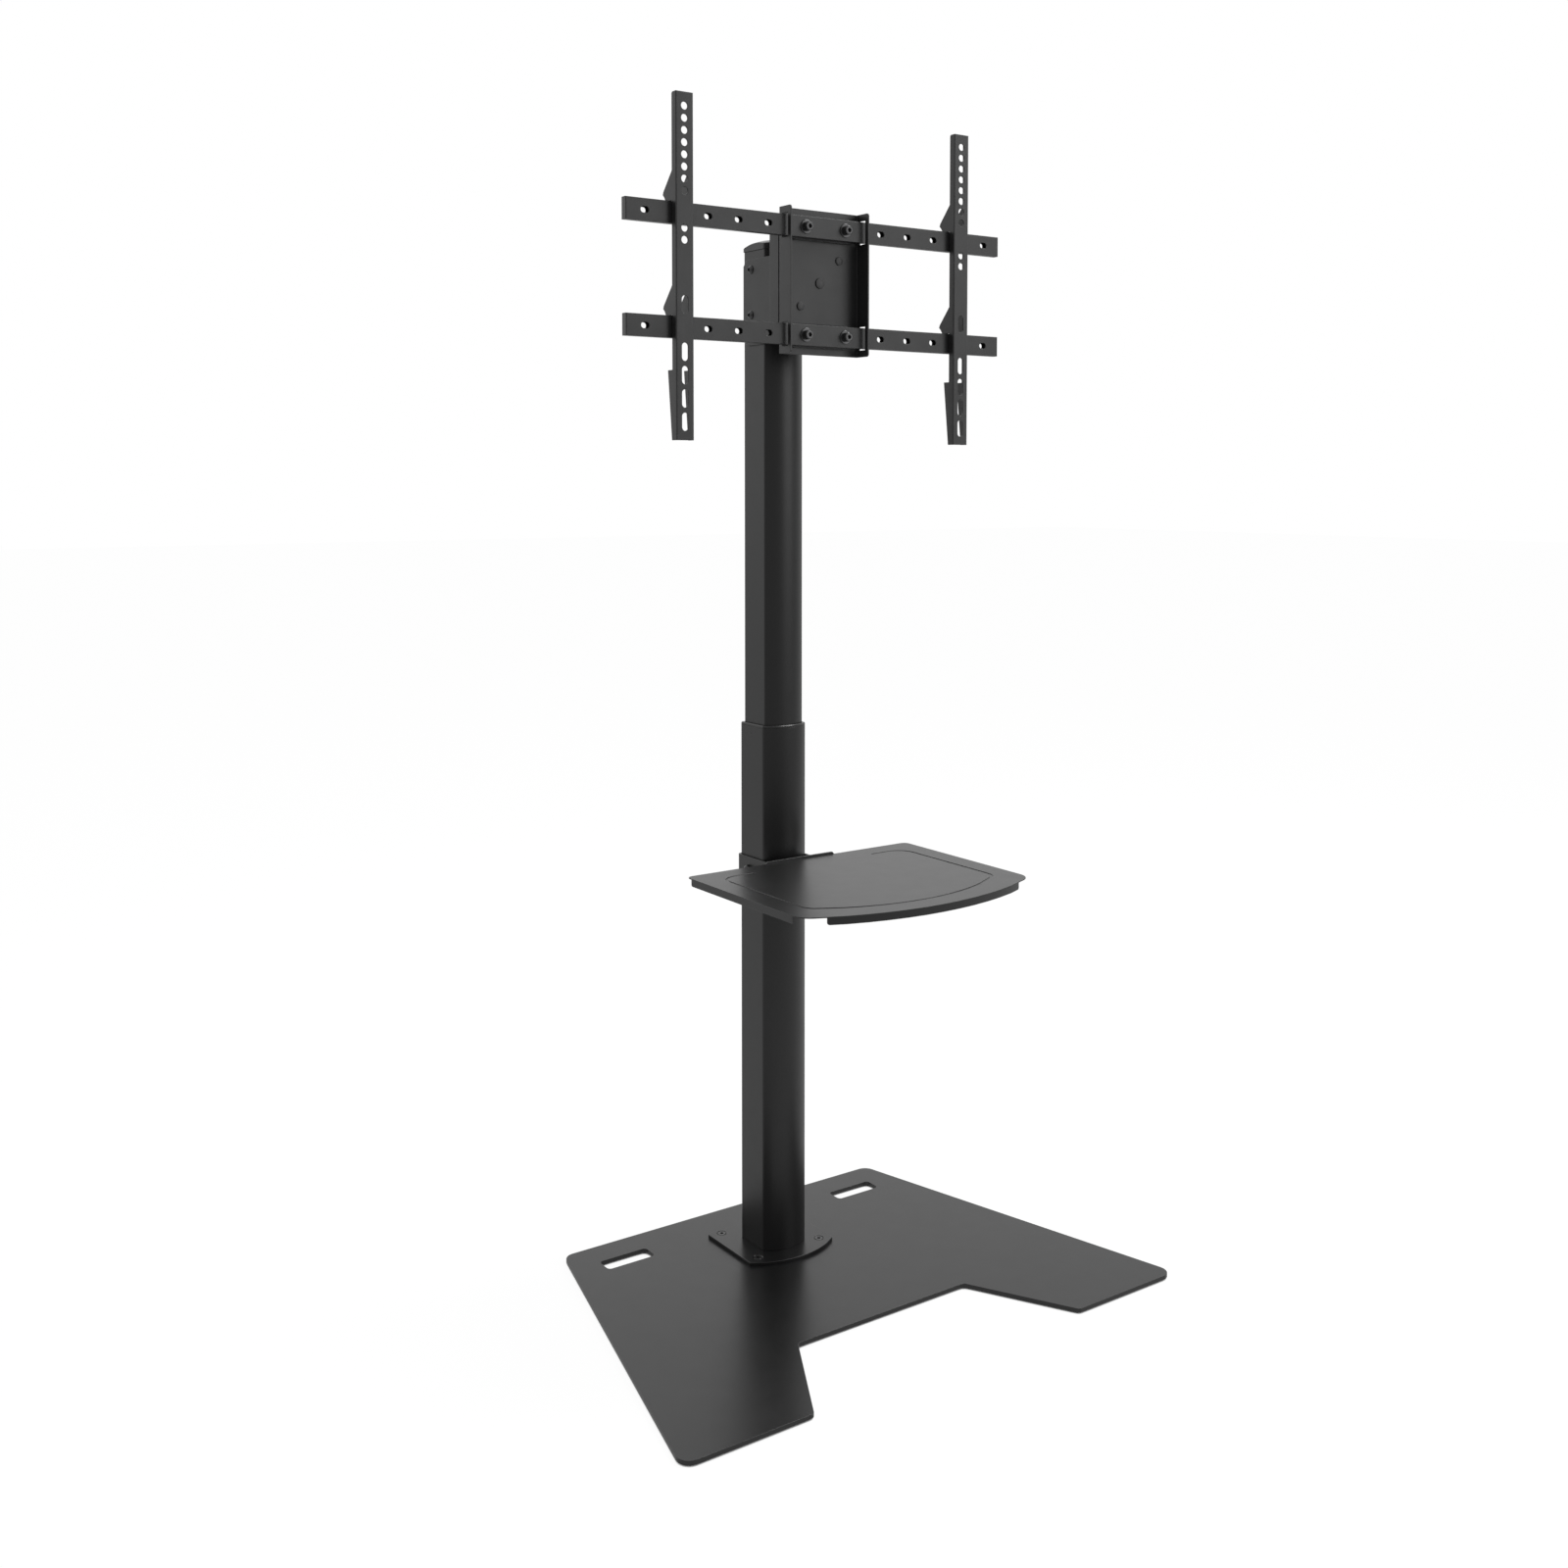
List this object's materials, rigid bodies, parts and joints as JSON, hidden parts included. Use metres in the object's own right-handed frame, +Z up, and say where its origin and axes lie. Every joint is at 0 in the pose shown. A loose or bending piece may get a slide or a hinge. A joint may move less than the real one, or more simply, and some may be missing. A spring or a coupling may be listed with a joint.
{
  "type": "television floor stand with mount",
  "caption": "Floor stand that carries a screen on hooked arms, with a telescopic column, a sliding shelf and a turning head on a splayed steel base.",
  "frame": {"origin": "on the floor, on the column's axis, under the middle of the four foot screws", "axes": "+Z up, -Y towards the screen side, +X to the right seen from the screen side"},
  "size_m": [0.85, 0.567, 1.703],
  "materials": {
    "plate_black": "satin black powder coat",
    "column_black": "satin black powder coat",
    "sheet_black": "satin black powder coat",
    "plastic_black": "fine matt grain",
    "pad_rubber": "matt",
    "screw_black": "black oxide, semi-gloss",
    "zinc": "zinc plated"
  },
  "bodies": {
    "stand": {"base_plate": "plate_black", "base_pads": "pad_rubber", "foot_flange": "plate_black", "foot_screws": "screw_black", "lower_tube": "column_black", "guide_collar": "plastic_black", "height_lock_nuts": "column_black", "height_lock_bolts": "zinc"},
    "mast": {"upper_tube": "column_black", "slide_shoe": "plastic_black", "end_cap": "plastic_black", "clamp_bracket": "sheet_black", "clamp_sleeves": "zinc", "clamp_bolts": "screw_black", "clamp_cap_nuts": "screw_black", "turning_plate": "sheet_black"},
    "head": {"friction_disc": "plastic_black", "pivot_bolt": "screw_black", "pivot_nut": "zinc", "turn_lock_screws": "screw_black", "turn_lock_nuts": "zinc", "mount_tray": "sheet_black", "top_rail": "sheet_black", "bottom_rail": "sheet_black", "rail_plugs": "plastic_black", "rail_washers": "screw_black", "rail_bolts": "screw_black", "rail_nuts": "zinc"},
    "arm_left": {"left_arm": "sheet_black"},
    "arm_right": {"right_arm": "sheet_black"},
    "shelf": {"shelf_plate": "plate_black", "shelf_bracket": "sheet_black", "shelf_collar": "sheet_black", "shelf_lock_nuts": "screw_black", "shelf_lock_screws": "screw_black"}
  },
  "joints": [
    {"name": "column_height", "type": "slide", "parent": "stand", "child": "mast", "axis": [0, 0, 1], "range_m": [-0.36, 0.04]},
    {"name": "head_turn", "type": "hinge", "parent": "mast", "child": "head", "pos_m": [0, -0.119, 1.467], "axis": [0, 1, 0], "range_deg": [0, 90]},
    {"name": "left_arm_slide", "type": "slide", "parent": "head", "child": "arm_left", "axis": [1, 0, 0], "range_m": [-0.064, 0.15]},
    {"name": "right_arm_slide", "type": "slide", "parent": "head", "child": "arm_right", "axis": [1, 0, 0], "range_m": [-0.15, 0.064]},
    {"name": "shelf_height", "type": "slide", "parent": "stand", "child": "shelf", "axis": [0, 0, 1], "range_m": [-0.4, 0.13]}
  ]
}
